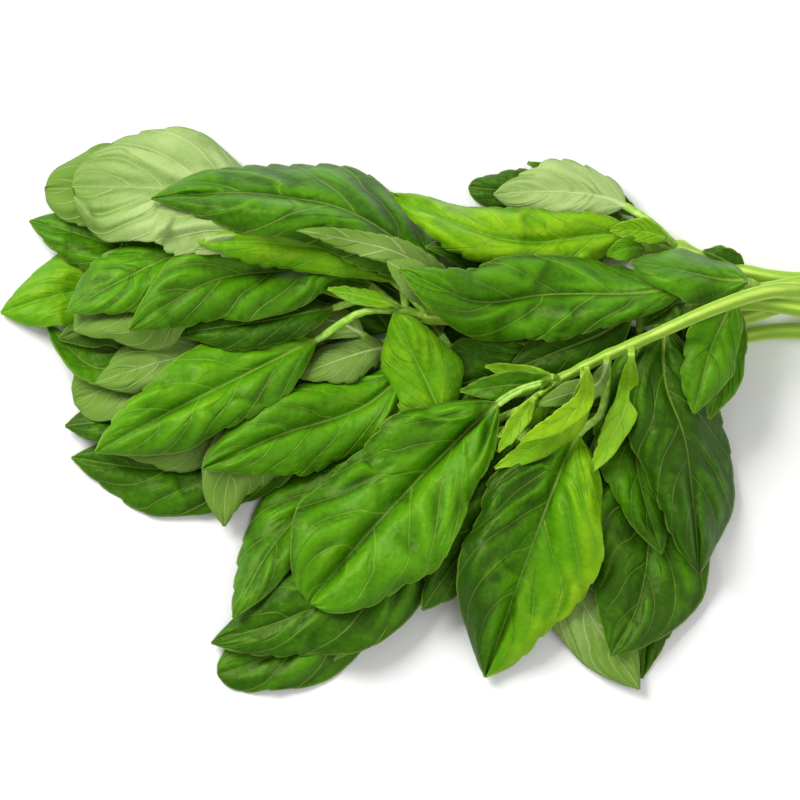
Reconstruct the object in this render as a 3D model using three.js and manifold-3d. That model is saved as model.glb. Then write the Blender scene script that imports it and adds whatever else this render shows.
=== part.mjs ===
// A bunch of cut basil lying on its side: six leafy stems, piled one over another.
// Each stem grew in one piece with its petioles and leaves, so each is one solid.
// Millimetres, +Z up. The stems run along X, with their cut ends towards +X.
import * as THREE from 'three';
import Module from 'manifold-3d';

const wasm = await Module();
wasm.setup();

// Driving dimensions
const bladeThickness = 0.8;
const petioleThickness = 2.0;
const petioleWidth = 2.6;
const tipWidth = 1.0;
const air = 0.6; // kept between a leaf and what it lies on
const faceReach = 0.75; // share of a leaf's thickness kept for its upper and its lower face
const middleOfBunch = [27.5, -0.5]; // plan middle of the whole bunch, set at the origin

// Places are plan points in millimetres. A route runs from the cut end to the growing tip.
// A leaf runs from its root on the stem through its via points to its tip, and is as wide as
// width across the blade. petiole is the bare share of its length, cup how far its edges lift.
const stems = [
  {
    name: 'leafy_stem_front_low',
    colour: 0x4f8a26,
    thickness: 5.4,
    route: [[180, 11], [150, 22], [128, 28.5], [113, 23], [93, 10], [67, 1], [38, -5], [10, -18], [-16, -31]],
    leaves: [
      { root: [93, 10], via: [[60, 22]], tip: [-3, 27], width: 28, petiole: 0.12 },
      { root: [58, -2], via: [[42, -16]], tip: [16, -32], width: 28, petiole: 0.12 },
      { root: [67, 1], via: [[62, -12]], tip: [52, -34], width: 24, petiole: 0.12 },
      { root: [38, -5], via: [[8, -5]], tip: [-24, -10], width: 20, petiole: 0.12 },
      { root: [10, -18], via: [[-14, -42]], tip: [-46, -62], width: 22, petiole: 0.12 },
      { root: [87, 6], via: [[83, -38]], tip: [77, -88], width: 24, petiole: 0.12 },
      { root: [50, -2], via: [[54, -54]], tip: [76, -92], width: 31, petiole: 0.12 },
      { root: [77, 4], via: [[79, -38], [76, -64]], tip: [67, -82], width: 42, petiole: 0.12 },
      { root: [32, -7], via: [[-11, -52], [-31, -76]], tip: [-58, -87], width: 30, petiole: 0.2, blunt: true },
      { root: [38, -5], via: [[14, -44], [-4, -65]], tip: [-21, -83], width: 16, petiole: 0.15 },
      { root: [22, -12], via: [[-6, -55], [-32, -69]], tip: [-60, -77], width: 34, petiole: 0.15 },
      { root: [45, -3], via: [[28, -36]], tip: [7, -68], width: 23, petiole: 0.15 },
      { root: [10, -18], via: [[-19, -25], [-39, -45]], tip: [-53, -70], width: 25, petiole: 0.1 },
    ],
  },
  {
    name: 'leafy_stem_left_low',
    colour: 0x5c9a2c,
    thickness: 5.0,
    route: [
      [176, 37], [150, 35], [128, 33], [109, 27], [80, 20],
      [51, 18], [19, 17], [-6, 19], [-40, 19], [-72, 14],
    ],
    leaves: [
      { root: [88, 23], via: [[68, 12]], tip: [42, 4], width: 27, petiole: 0.12 },
      { root: [52, 18], via: [[30, 8]], tip: [2, 2], width: 27, petiole: 0.12 },
      { root: [28, 17], via: [[22, 32]], tip: [2, 46], width: 24, petiole: 0.15 },
      { root: [-2, 18], via: [[-10, 32]], tip: [-30, 43], width: 26, petiole: 0.15 },
      { root: [-25, 19], via: [[-44, -14], [-75, -21]], tip: [-105, -17], width: 32, petiole: 0.2 },
      { root: [-45, 18], via: [[-60, -8]], tip: [-88, -17], width: 20, petiole: 0.25 },
      { root: [-56, 17], via: [[-76, -3]], tip: [-107, -7], width: 24, petiole: 0.15 },
      { root: [-68, 15], via: [[-84, 9]], tip: [-104, 0], width: 27, petiole: 0.1, cup: 4, blunt: true },
      { root: [-73, 14], via: [[-97, 11]], tip: [-113, 26], width: 11, petiole: 0.15 },
      { root: [-62, 16], via: [[-90, 37]], tip: [-128, 30], width: 29, petiole: 0.2 },
      { root: [-50, 18], via: [[-82, 46]], tip: [-119, 60], width: 26, petiole: 0.25 },
      { root: [-72, 14], via: [[-90, 24]], tip: [-109, 20], width: 15, petiole: 0.12 },
      { root: [19, 17], via: [[2, 33]], tip: [-18, 44], width: 20, petiole: 0.12 },
      { root: [-12, 19], via: [[-35, -2], [-53, -22]], tip: [-56, -40], width: 26, petiole: 0.15 },
      { root: [10, 17], via: [[-10, -1], [-38, -12]], tip: [-63, -23], width: 28, petiole: 0.1 },
      { root: [-34, 19], via: [[-66, 14]], tip: [-97, 5], width: 26, petiole: 0.15 },
      { root: [2, 18], via: [[-13, 15]], tip: [-33, 7], width: 16, petiole: 0.12 },
      { root: [-6, 19], via: [[-22, 26]], tip: [-44, 28], width: 14, petiole: 0.12 },
    ],
  },
  {
    name: 'leafy_stem_left_high',
    colour: 0x3f7d2c,
    thickness: 5.0,
    route: [
      [182, 18], [150, 25], [128, 29], [110, 31], [83, 28],
      [51, 26], [22, 25], [0, 28], [-30, 38], [-58, 47],
    ],
    leaves: [
      { root: [8, 26], via: [[-10, 27], [-26, 19], [-59, 2]], tip: [-97, -17], width: 29, petiole: 0.33 },
      { root: [-14, 33], via: [[-38, 25]], tip: [-70, 20], width: 18, petiole: 0.15 },
      { root: [-50, 45], via: [[-72, 39]], tip: [-104, 22], width: 40, petiole: 0.1 },
      { root: [-56, 46], via: [[-76, 43]], tip: [-106, 27], width: 24, petiole: 0.1 },
      { root: [2, 28], via: [[-19, 43], [-37, 41], [-59, 36]], tip: [-86, 20], width: 30, petiole: 0.15 },
      { root: [-36, 40], via: [[-70, 66]], tip: [-114, 70], width: 32, petiole: 0.25, blunt: true },
      { root: [-24, 36], via: [[-48, 54], [-72, 67]], tip: [-105, 69], width: 44, petiole: 0.2, blunt: true },
      { root: [0, 28], via: [[-6, 57]], tip: [-38, 77], width: 23, petiole: 0.25 },
      { root: [8, 26], via: [[-16, 45]], tip: [-64, 47], width: 17, petiole: 0.2 },
      { root: [24, 25], via: [[8, 43], [-19, 59], [-50, 63]], tip: [-79, 62], width: 32, petiole: 0.12 },
      { root: [30, 26], via: [[0, 43]], tip: [-33, 50], width: 9, petiole: 0.15 },
      { root: [3, 28], via: [], tip: [-23, 34], width: 6, petiole: 0.15 },
      { root: [8, 26], via: [], tip: [-2, 41], width: 6, petiole: 0.15 },
      { root: [16, 25], via: [], tip: [-4, 40], width: 12, petiole: 0.15 },
    ],
  },
  {
    name: 'leafy_stem_back',
    colour: 0x86b81c,
    thickness: 5.6,
    route: [[174, 52], [150, 44], [128, 39], [107, 43], [96, 48], [91, 50], [77, 51], [61, 48], [42, 46]],
    leaves: [
      { root: [115, 42], via: [], tip: [97, 49], width: 9, petiole: 0.1 },
      { root: [77, 51], via: [[45, 47]], tip: [8, 48], width: 17, petiole: 0.1 },
      { root: [91, 50], via: [[61, 65]], tip: [22, 71], width: 16, petiole: 0.3, blunt: true },
      { root: [91, 50], via: [[66, 68]], tip: [41, 79], width: 9, petiole: 0.3 },
      { root: [91, 50], via: [[71, 64], [54, 68]], tip: [30, 68], width: 22, petiole: 0.34 },
      { root: [88, 50], via: [[68, 54], [32, 51]], tip: [-3, 66], width: 23, petiole: 0.15 },
      { root: [93, 49], via: [[80, 54]], tip: [67, 55], width: 8, petiole: 0.2 },
      { root: [83, 50], via: [], tip: [66, 47], width: 8, petiole: 0.2 },
    ],
  },
  {
    name: 'leafy_stem_middle',
    colour: 0x2f6b1f,
    thickness: 4.8,
    route: [[178, 46], [150, 40], [128, 37], [112, 34], [96, 32], [87, 30], [77, 27], [61, 24]],
    leaves: [
      { root: [93, 31], via: [[86, 8]], tip: [68, -2], width: 24, petiole: 0.15 },
      { root: [102, 31], via: [[96, 11]], tip: [77, 0], width: 20, petiole: 0.15 },
      { root: [80, 28], via: [[75, -20]], tip: [83, -50], width: 25, petiole: 0.08 },
      { root: [86, 30], via: [[84, 4], [91, -18]], tip: [95, -56], width: 32, petiole: 0.08 },
      { root: [111, 31], via: [[103, 8]], tip: [98, -8], width: 13, petiole: 0.1 },
      { root: [111, 32], via: [[99, 15]], tip: [93, -7], width: 18, petiole: 0.08 },
      { root: [79, 28], via: [[60, 18]], tip: [34, 9], width: 18, petiole: 0.08 },
      { root: [93, 31], via: [], tip: [77, 22], width: 9, petiole: 0.1 },
      { root: [96, 31], via: [[77, 32], [46, 32], [22, 28]], tip: [0, 37], width: 29, petiole: 0.1 },
      { root: [112, 32], via: [[96, 37]], tip: [73, 42], width: 20, petiole: 0.12 },
    ],
  },
  {
    name: 'leafy_stem_front_high',
    colour: 0x4f9a1e,
    thickness: 5.6,
    route: [[183, 29], [150, 31], [128, 32], [117, 31], [107, 28], [80, 17], [54, 6], [38, -5]],
    leaves: [
      { root: [38, -5], via: [[17, -8], [7, 8]], tip: [-2, 26], width: 24, petiole: 0.36 },
      { root: [51, 4], via: [], tip: [27, 10], width: 6, petiole: 0.1 },
      { root: [51, 4], via: [], tip: [19, 2], width: 9, petiole: 0.1 },
      {
        root: [54, 6], via: [[34, -1], [11, -21], [-11, -45]], tip: [-29, -66], width: 45, petiole: 0.2,
        cup: 4, blunt: true,
      },
      { root: [69, 12], via: [[64, -5], [55, -15], [41, -50]], tip: [27, -88], width: 43, petiole: 0.25 },
      { root: [54, 6], via: [[45, -4]], tip: [31, -14], width: 7, petiole: 0.15 },
      { root: [69, 12], via: [[62, 2]], tip: [43, -5], width: 8, petiole: 0.12 },
      { root: [73, 14], via: [[71, -6]], tip: [60, -26], width: 9, petiole: 0.12 },
      { root: [46, 1], via: [], tip: [31, -19], width: 6, petiole: 0.15 },
      { root: [62, 9], via: [[54, -10]], tip: [30, -24], width: 9, petiole: 0.12 },
      { root: [62, 9], via: [[57, -6]], tip: [38, -17], width: 7, petiole: 0.12 },
    ],
  },
];

const smoothStep = (x) => THREE.MathUtils.smoothstep(x, 0, 1);

// The pile: the height of everything laid down so far, on a grid of square cells
const cell = 1;
const sampleSpacing = 0.8;
const pileCorner = [-140, -105];
const pileCells = [340, 210];

class Pile {
  constructor() {
    this.heights = new Float64Array(pileCells[0] * pileCells[1]).fill(-air);
  }

  column(x) {
    return THREE.MathUtils.clamp(Math.floor((x - pileCorner[0]) / cell), 0, pileCells[0] - 1);
  }

  line(y) {
    return THREE.MathUtils.clamp(Math.floor((y - pileCorner[1]) / cell), 0, pileCells[1] - 1);
  }

  highest(points, margin) {
    const xs = points.map((p) => p[0]);
    const ys = points.map((p) => p[1]);
    const lastColumn = this.column(Math.max(...xs) + margin);
    const lastLine = this.line(Math.max(...ys) + margin);
    let top = -air;
    for (let j = this.line(Math.min(...ys) - margin); j <= lastLine; j++) {
      for (let i = this.column(Math.min(...xs) - margin); i <= lastColumn; i++) {
        top = Math.max(top, this.heights[j * pileCells[0] + i]);
      }
    }
    return top;
  }

  raise([x, y, z]) {
    const k = this.line(y) * pileCells[0] + this.column(x);
    this.heights[k] = Math.max(this.heights[k], z);
  }

  at(x, y) {
    return this.heights[this.line(y) * pileCells[0] + this.column(x)];
  }

  // Lays a sheet of points down, raised by the height of its upper face over its middle
  cover(sheet, reach) {
    for (const { places, shares } of samples(sheet)) {
      const corners = places.map(([i, j]) => sheet[i][j]);
      const [x, y, z] = blend(corners, shares);
      this.raise([x, y, z + reach(places[0][0])]);
    }
  }

  add(other) {
    this.heights = this.heights.map((h, k) => Math.max(h, other.heights[k]));
  }
}

// Points spread closer than a cell over the triangles of a sheet: three corners and their shares
function samples(sheet) {
  const found = [];
  for (let i = 0; i + 1 < sheet.length; i++) {
    for (let j = 0; j + 1 < sheet[i].length; j++) {
      const square = [[i, j], [i + 1, j], [i + 1, j + 1], [i, j + 1]];
      for (const places of [[square[0], square[1], square[2]], [square[0], square[2], square[3]]]) {
        const [a, b, c] = places.map(([m, n]) => sheet[m][n]);
        const steps = Math.ceil(Math.max(spacing(a, b), spacing(a, c), spacing(b, c)) / sampleSpacing) + 1;
        for (let m = 0; m <= steps; m++) {
          for (let n = 0; m + n <= steps; n++) {
            found.push({ places, shares: [1 - (m + n) / steps, m / steps, n / steps] });
          }
        }
      }
    }
  }
  return found;
}

function blend(corners, shares) {
  return [0, 1, 2].map((k) => corners.reduce((sum, corner, n) => sum + shares[n] * corner[k], 0));
}

function spacing(a, b) {
  return Math.hypot(a[0] - b[0], a[1] - b[1]);
}

// A smooth lift over the plan, as low as it can be while it clears what lies beneath
const liftStep = 4;
const liftRounds = 12;
const liftMargin = 3; // grid steps kept round the leaf
const leastWeight = 0.04; // a grid value that weighs less than this isn't raised

class Lift {
  constructor(points) {
    const xs = points.map((p) => p[0]);
    const ys = points.map((p) => p[1]);
    this.corner = [Math.min(...xs) - liftMargin * liftStep, Math.min(...ys) - liftMargin * liftStep];
    this.columns = Math.ceil((Math.max(...xs) - this.corner[0]) / liftStep) + liftMargin + 1;
    this.lines = Math.ceil((Math.max(...ys) - this.corner[1]) / liftStep) + liftMargin + 1;
    this.need = new Float64Array(this.columns * this.lines);
  }

  // The sixteen grid values round a point and their cubic spline weights
  around(x, y) {
    const at = [(x - this.corner[0]) / liftStep, (y - this.corner[1]) / liftStep];
    const [i, j] = at.map(Math.floor);
    const [wx, wy] = at.map((a) => splineWeights(a - Math.floor(a)));
    const found = [];
    for (let n = 0; n < 4; n++) {
      for (let m = 0; m < 4; m++) {
        found.push([(j + n - 1) * this.columns + i + m - 1, wx[m] * wy[n]]);
      }
    }
    return found;
  }

  ask(x, y, height) {
    for (const [k, weight] of this.around(x, y)) {
      if (weight > leastWeight) this.need[k] = Math.max(this.need[k], height);
    }
  }

  settle() {
    this.values = this.need.slice();
    for (let round = 0; round < liftRounds; round++) {
      const before = this.values.slice();
      for (let j = 0; j < this.lines; j++) {
        for (let i = 0; i < this.columns; i++) {
          let sum = 0;
          for (const [m, n] of [[0, 0], [-1, 0], [1, 0], [0, -1], [0, 1]]) {
            const column = THREE.MathUtils.clamp(i + m, 0, this.columns - 1);
            const line = THREE.MathUtils.clamp(j + n, 0, this.lines - 1);
            sum += before[line * this.columns + column];
          }
          const k = j * this.columns + i;
          this.values[k] = Math.max(this.need[k], sum / 5);
        }
      }
    }
  }

  at(x, y) {
    return this.around(x, y).reduce((sum, [k, weight]) => sum + weight * this.values[k], 0);
  }
}

function splineWeights(t) {
  return [(1 - t) ** 3 / 6, (3 * t ** 3 - 6 * t ** 2 + 4) / 6,
    (-3 * t ** 3 + 3 * t ** 2 + 3 * t + 1) / 6, t ** 3 / 6];
}

// The centre line of a stem: flat along its route, lifted over what it crosses
const stemStep = 8;
const stemRounds = 15;
const stemTipThickness = 2;
const stemTaper = 1.5;
const stemMargin = 1.5; // looked over on either side for what the stem crosses
const stemRidge = 0.06; // how far its four ridges stand out, as a share of its radius

function centreLine(stem, pile) {
  const curve = new THREE.SplineCurve(stem.route.map((p) => new THREE.Vector2(...p)));
  const count = Math.round(curve.getLength() / stemStep);
  const line = [];
  for (let k = 0; k <= count; k++) {
    const p = curve.getPointAt(k / count);
    const radius = THREE.MathUtils.lerp(stem.thickness, stemTipThickness, (k / count) ** stemTaper) / 2;
    line.push({ x: p.x, y: p.y, radius });
  }
  const need = line.map((p, k) => {
    const near = line.slice(Math.max(0, k - 1), k + 2).map((q) => [q.x, q.y]);
    return pile.highest(near, p.radius + stemMargin) + air + p.radius;
  });
  let lift = need.slice();
  for (let round = 0; round < stemRounds; round++) {
    const before = lift;
    const mean = (k) => (before[Math.max(0, k - 1)] + before[k] + before[Math.min(count, k + 1)]) / 3;
    lift = need.map((h, k) => Math.max(h, mean(k)));
  }
  return line.map((p, k) => ({ ...p, z: lift[k] }));
}

function nearestOnLine(line, [x, y]) {
  const away = (p) => spacing([p.x, p.y], [x, y]);
  return line.reduce((best, p) => (away(p) < away(best) ? p : best));
}

// Rings of a stem with eight sides, a flat one underneath
const stemSides = 8;

function stemRings(line) {
  return line.map((p, k) => {
    const before = line[Math.max(0, k - 1)];
    const after = line[Math.min(line.length - 1, k + 1)];
    const along = new THREE.Vector3(after.x - before.x, after.y - before.y, after.z - before.z).normalize();
    const side = new THREE.Vector3().crossVectors(along, new THREE.Vector3(0, 0, 1)).normalize();
    const up = new THREE.Vector3().crossVectors(side, along);
    return Array.from({ length: stemSides }, (_, n) => {
      const turn = ((n + 0.5) / stemSides) * 2 * Math.PI;
      const radius = p.radius * (1 + stemRidge * Math.cos(4 * turn));
      const across = side.clone().multiplyScalar(radius * Math.cos(turn));
      const out = across.addScaledVector(up, radius * Math.sin(turn));
      return [p.x + out.x, p.y + out.y, p.z + out.z];
    });
  });
}

// Half the width of a leaf at a share s of its length
const baseFullness = 0.72;
const tipFullness = { pointed: 0.85, blunt: 0.5 };
const stalkShare = 1 / 8; // a small leaf's stalk is narrower: half of it is this share of the leaf
const stalkDepth = 1 / 5; // and it is as thick as this share

function halfWidth(leaf, s) {
  const u = Math.max(0, (s - leaf.petiole) / (1 - leaf.petiole));
  const tip = leaf.blunt ? tipFullness.blunt : tipFullness.pointed;
  const widest = baseFullness / (baseFullness + tip);
  const most = widest ** baseFullness * (1 - widest) ** tip;
  const blade = ((leaf.width / 2) * u ** baseFullness * (1 - u) ** tip) / most;
  const stalk = THREE.MathUtils.lerp(petioleWidth, tipWidth, u) / 2;
  return Math.max(blade, Math.min(stalk, leaf.width * stalkShare));
}

// The stalk thins into the blade over its last stretch, which is a quarter as long as the blade
function thicknessAt(leaf, s) {
  const u = (s - leaf.petiole) / (1 - leaf.petiole);
  const root = Math.min(petioleThickness, leaf.width * stalkDepth);
  return THREE.MathUtils.lerp(Math.max(root, bladeThickness), bladeThickness, smoothStep(1 + u * 4));
}

// The rows of a leaf, as shares of its length: root, petiole, blade
const rowSpacing = 12.2;
const leastRows = 4;
const mostRows = 11;
const longStalk = 9; // a stalk longer than this has a row halfway

function leafRows(leaf) {
  const blade = leaf.length * (1 - leaf.petiole);
  const count = THREE.MathUtils.clamp(Math.round(blade / rowSpacing) + 1, leastRows, mostRows);
  const halfway = leaf.petiole * leaf.length > longStalk ? [leaf.petiole / 2] : [];
  const rows = [0, ...halfway, leaf.petiole];
  for (let k = 1; k <= count; k++) {
    const even = k / count;
    const eased = (1 - Math.cos(Math.PI * even)) / 2;
    rows.push(leaf.petiole + (1 - leaf.petiole) * (even + eased) * 0.5);
  }
  return rows;
}

// The columns of a leaf across its width
const wideLeaf = 38;
const narrowLeaf = 15;

function leafColumns(leaf) {
  if (leaf.width > wideLeaf) return 6;
  return leaf.width > narrowLeaf ? 4 : 2;
}

// A point of the leaf as it would hang with nothing beneath it: s along, c across, -1 to 1.
// Its two halves hump up beside the midrib, and its edges wave up and down and wander in and out.
// Each of these has so many waves along the blade, and its own start on each leaf and each side.
const edgeWaves = { waves: 2.3, start: 1, side: 0.3 };
const slowWander = { waves: 1.9, start: 3, side: 0.2, share: 0.08 };
const quickWander = { waves: 4.3, start: 5, side: 0.3, share: 0.02 };
const mostRoll = THREE.MathUtils.degToRad(10);
const fallLength = 2; // a leaf falls from its root over this length
const fallPerHeight = 0.3; // and over this much more for each millimetre of its root's height

function hangingPoint(leaf, s, c) {
  const p = leaf.curve.getPointAt(s);
  const along = leaf.curve.getTangentAt(s);
  const u = Math.max(0, (s - leaf.petiole) / (1 - leaf.petiole));
  const half = halfWidth(leaf, s);
  const fullness = half / (leaf.width / 2);
  const swing = ({ waves, start, side }) => (
    Math.sin(2 * Math.PI * (waves * u + start * leaf.turn + side * Math.sign(c)))
  );
  const wander = slowWander.share * swing(slowWander) + quickWander.share * swing(quickWander);
  const across = c * half * (1 + Math.abs(c) * wander);
  const edge = (leaf.cup + leaf.wave * swing(edgeWaves)) * c * c;
  const hump = leaf.hump * Math.sin(Math.PI * Math.abs(c));
  const tilt = leaf.roll * smoothStep(u * 3);
  const fall = 1 - smoothStep((s * leaf.length) / (fallLength + fallPerHeight * leaf.rootHeight));
  const height = leaf.rootHeight * fall + leaf.arch * Math.sin(Math.PI * u) + (edge + hump) * fullness
    + across * Math.sin(tilt);
  const sideways = across * Math.cos(tilt);
  return [p.x - along.y * sideways, p.y + along.x * sideways, height];
}

// How a leaf of this width bows: a young leaf's edges fold up, a grown one's hang down
const youngWidth = 14;

function hangOf(width) {
  const cup = width < youngWidth ? width / 8 : -width / 12;
  return { arch: width / 11, cup, hump: width / 18, wave: width / 17 };
}

function leafSheet(leaf) {
  return leafRows(leaf).map((s, i) => {
    const columns = leafColumns(leaf);
    return Array.from({ length: columns + 1 }, (_, j) => hangingPoint(leaf, s, (2 * j) / columns - 1));
  });
}

// Lifts a leaf clear of the pile, and past its root also clear of its own stem and leaves
const rootHold = 5;
const rootReach = 9;
const layRounds = 8;
const nearCorner = 0.2; // a place whose share of a corner is less than this doesn't raise it
const loose = 0.3; // a row gripped by its root more than this isn't raised

function layLeaf(leaf, pile, own) {
  const sheet = leafSheet(leaf);
  const rows = leafRows(leaf);
  const lift = new Lift(sheet.flat());
  const grip = rows.map((s) => smoothStep((s * leaf.length) / rootHold));
  const touch = samples(sheet).map(({ places, shares }) => {
    const [x, y, z] = blend(places.map(([i, j]) => sheet[i][j]), shares);
    const s = places.reduce((sum, [i], k) => sum + shares[k] * rows[i], 0);
    const below = Math.max(pile.at(x, y), s * leaf.length > rootReach ? own.at(x, y) : -air);
    return { places, shares, rise: below + air + thicknessAt(leaf, s) * faceReach - z };
  });
  let heights;
  for (let round = 0; round < layRounds; round++) {
    lift.settle();
    heights = sheet.map((row, i) => row.map(([x, y]) => grip[i] * lift.at(x, y)));
    const short = sheet.map((row) => row.map(() => 0));
    for (const { places, shares, rise } of touch) {
      const missing = rise - places.reduce((sum, [i, j], k) => sum + shares[k] * heights[i][j], 0);
      places.forEach(([i, j], k) => {
        if (shares[k] > nearCorner) short[i][j] = Math.max(short[i][j], missing);
      });
    }
    sheet.forEach((row, i) => row.forEach(([x, y], j) => {
      if (short[i][j] > 0 && grip[i] > loose) lift.ask(x, y, heights[i][j] + short[i][j]);
    }));
  }
  const laid = sheet.map((row, i) => row.map(([x, y, z], j) => [x, y, z + heights[i][j]]));
  own.cover(laid, (i) => thicknessAt(leaf, rows[i]) * faceReach);
  return laid;
}

// Closes a sheet into a solid: both faces split alike, and a rim round them
const flatBelow = 0.4; // what comes this close to the surface lies flat on it

function leafSolid(leaf, sheet) {
  const rows = leafRows(leaf);
  const [n, m] = [sheet.length, sheet[0].length];
  const vector = (i, j) => new THREE.Vector3(...sheet[i][j]);
  const faces = [[], []];
  for (let i = 0; i < n; i++) {
    for (let j = 0; j < m; j++) {
      const along = vector(Math.min(n - 1, i + 1), j).sub(vector(Math.max(0, i - 1), j));
      const across = vector(i, Math.min(m - 1, j + 1)).sub(vector(i, Math.max(0, j - 1)));
      const out = along.cross(across).normalize().multiplyScalar(thicknessAt(leaf, rows[i]) / 2);
      faces[0].push(vector(i, j).add(out));
      faces[1].push(vector(i, j).sub(out));
    }
  }
  const at = (face, i, j) => face * n * m + i * m + j;
  const triangles = [];
  const square = (a, b, c, d) => triangles.push(a, b, c, a, c, d);
  for (let i = 0; i + 1 < n; i++) {
    for (let j = 0; j + 1 < m; j++) {
      square(at(0, i, j), at(0, i + 1, j), at(0, i + 1, j + 1), at(0, i, j + 1));
      triangles.push(at(1, i, j), at(1, i + 1, j + 1), at(1, i + 1, j));
      triangles.push(at(1, i, j), at(1, i, j + 1), at(1, i + 1, j + 1));
    }
    square(at(0, i, 0), at(1, i, 0), at(1, i + 1, 0), at(0, i + 1, 0));
    square(at(0, i + 1, m - 1), at(1, i + 1, m - 1), at(1, i, m - 1), at(0, i, m - 1));
  }
  for (let j = 0; j + 1 < m; j++) {
    square(at(0, 0, j + 1), at(1, 0, j + 1), at(1, 0, j), at(0, 0, j));
    square(at(0, n - 1, j), at(1, n - 1, j), at(1, n - 1, j + 1), at(0, n - 1, j + 1));
  }
  return solidOf(faces.flat().map((v) => [v.x, v.y, v.z]), triangles);
}

function stemSolid(rings) {
  const triangles = [];
  rings.slice(1).forEach((_, k) => {
    for (let n = 0; n < stemSides; n++) {
      const [a, b] = [k * stemSides + n, k * stemSides + ((n + 1) % stemSides)];
      triangles.push(a, a + stemSides, b + stemSides, a, b + stemSides, b);
    }
  });
  const last = (rings.length - 1) * stemSides;
  for (let n = 1; n + 1 < stemSides; n++) {
    triangles.push(0, n, n + 1);
    triangles.push(last, last + n + 1, last + n);
  }
  return solidOf(rings.flat(), triangles);
}

function solidOf(points, triangles) {
  const settled = points.map(([x, y, z]) => [x, y, z < flatBelow ? 0 : z]);
  return new wasm.Manifold(new wasm.Mesh({
    numProp: 3,
    vertProperties: new Float32Array(settled.flat()),
    triVerts: new Uint32Array(triangles),
  }));
}

function geometryOf(solid) {
  const { vertProperties, triVerts } = solid.getMesh();
  const geometry = new THREE.BufferGeometry();
  geometry.setAttribute('position', new THREE.BufferAttribute(new Float32Array(vertProperties), 3));
  geometry.setIndex(new THREE.BufferAttribute(new Uint32Array(triVerts), 1));
  geometry.computeVertexNormals();
  return geometry;
}

// Lays the stems down one after another, each with its leaves, which have turns of their own
const turnStep = 0.37;
const stemReach = 0.1; // a stem's rings are its surface, kept this far off
const pile = new Pile();
const bunch = new THREE.Group();
for (const [number, stem] of stems.entries()) {
  const line = centreLine(stem, pile);
  const rings = stemRings(line);
  const own = new Pile();
  own.cover(rings.map((ring) => [...ring, ring[0]]), () => stemReach);
  const parts = [stemSolid(rings)];
  for (const [index, given] of stem.leaves.entries()) {
    const root = nearestOnLine(line, given.root);
    const points = [[root.x, root.y], ...given.via, given.tip].map((p) => new THREE.Vector2(...p));
    const curve = new THREE.SplineCurve(points);
    const turn = (turnStep * (index + 3 * number)) % 1;
    const leaf = {
      ...given,
      ...hangOf(given.width),
      cup: given.cup ?? hangOf(given.width).cup,
      roll: mostRoll * Math.sin(6 * Math.PI * turn),
      turn,
      curve,
      length: curve.getLength(),
      rootHeight: root.z,
    };
    parts.push(leafSolid(leaf, layLeaf(leaf, pile, own)));
  }
  pile.add(own);
  const material = new THREE.MeshStandardMaterial({ color: stem.colour, roughness: 0.5, metalness: 0 });
  const mesh = new THREE.Mesh(geometryOf(wasm.Manifold.union(parts)), material);
  mesh.name = stem.name;
  bunch.add(mesh);
}
bunch.position.set(-middleOfBunch[0], -middleOfBunch[1], 0);

export default bunch;
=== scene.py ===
"""A bunch of cut basil lying on its side: six leafy stems piled one over another."""
import math

import bmesh
import bpy
import numpy as np
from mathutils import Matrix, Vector


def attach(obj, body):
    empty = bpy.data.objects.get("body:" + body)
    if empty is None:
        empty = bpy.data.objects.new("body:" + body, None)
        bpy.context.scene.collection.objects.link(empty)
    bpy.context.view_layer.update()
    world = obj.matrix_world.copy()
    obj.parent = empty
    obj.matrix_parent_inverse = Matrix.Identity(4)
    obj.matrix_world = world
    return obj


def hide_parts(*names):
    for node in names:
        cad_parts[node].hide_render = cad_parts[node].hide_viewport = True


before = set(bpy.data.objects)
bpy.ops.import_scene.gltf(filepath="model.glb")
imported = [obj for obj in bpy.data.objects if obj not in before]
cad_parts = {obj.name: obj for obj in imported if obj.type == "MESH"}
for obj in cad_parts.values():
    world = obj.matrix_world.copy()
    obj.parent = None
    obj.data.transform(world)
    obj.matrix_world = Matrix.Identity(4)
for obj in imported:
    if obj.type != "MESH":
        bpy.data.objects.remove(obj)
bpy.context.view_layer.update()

# ---------------------------------------------------------------- front low leafy stem
# The lowest stem of the bunch: a cut stem grown in one piece with its leaves, which hang off
# towards the front. Nothing ties the bunch, so each stem and leaf just rests on what is beneath.
# The bunch is laid down in millimetres, from its lowest leaf to its topmost.
MIDDLE_OF_BUNCH = (27.5, -0.5)  # its plan middle, which is set at the origin
CELL = 1.0
PILE_CORNER = (-140, -105)
PILE_CELLS = (340, 210)
SAMPLE_SPACING = 0.8
AIR = 0.6  # kept between a leaf and what it lies on


def smooth_step(x):
    x = np.clip(x, 0, 1)
    return x * x * (3 - 2 * x)


def nearest_whole(x):
    return int(math.floor(x + 0.5))


def samples(sheet):
    """Places closer than a cell over a sheet's triangles: the three corners of each, and their shares."""
    places = sheet.reshape(-1, 3)
    columns = sheet.shape[1]
    corners = []
    shares = []
    for i in range(sheet.shape[0] - 1):
        for j in range(columns - 1):
            a = i * columns + j
            for three in ((a, a + columns, a + columns + 1), (a, a + columns + 1, a + 1)):
                sides = places[list(three), :2] - places[[three[1], three[2], three[0]], :2]
                steps = math.ceil(np.hypot(*sides.T).max() / SAMPLE_SPACING) + 1
                m, n = np.mgrid[:steps + 1, :steps + 1]
                inside = m + n <= steps
                m = m[inside] / steps
                n = n[inside] / steps
                shares.append(np.stack([1 - m - n, m, n], 1))
                corners.append(np.tile(three, (len(m), 1)))
    return np.concatenate(corners), np.concatenate(shares)


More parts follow.
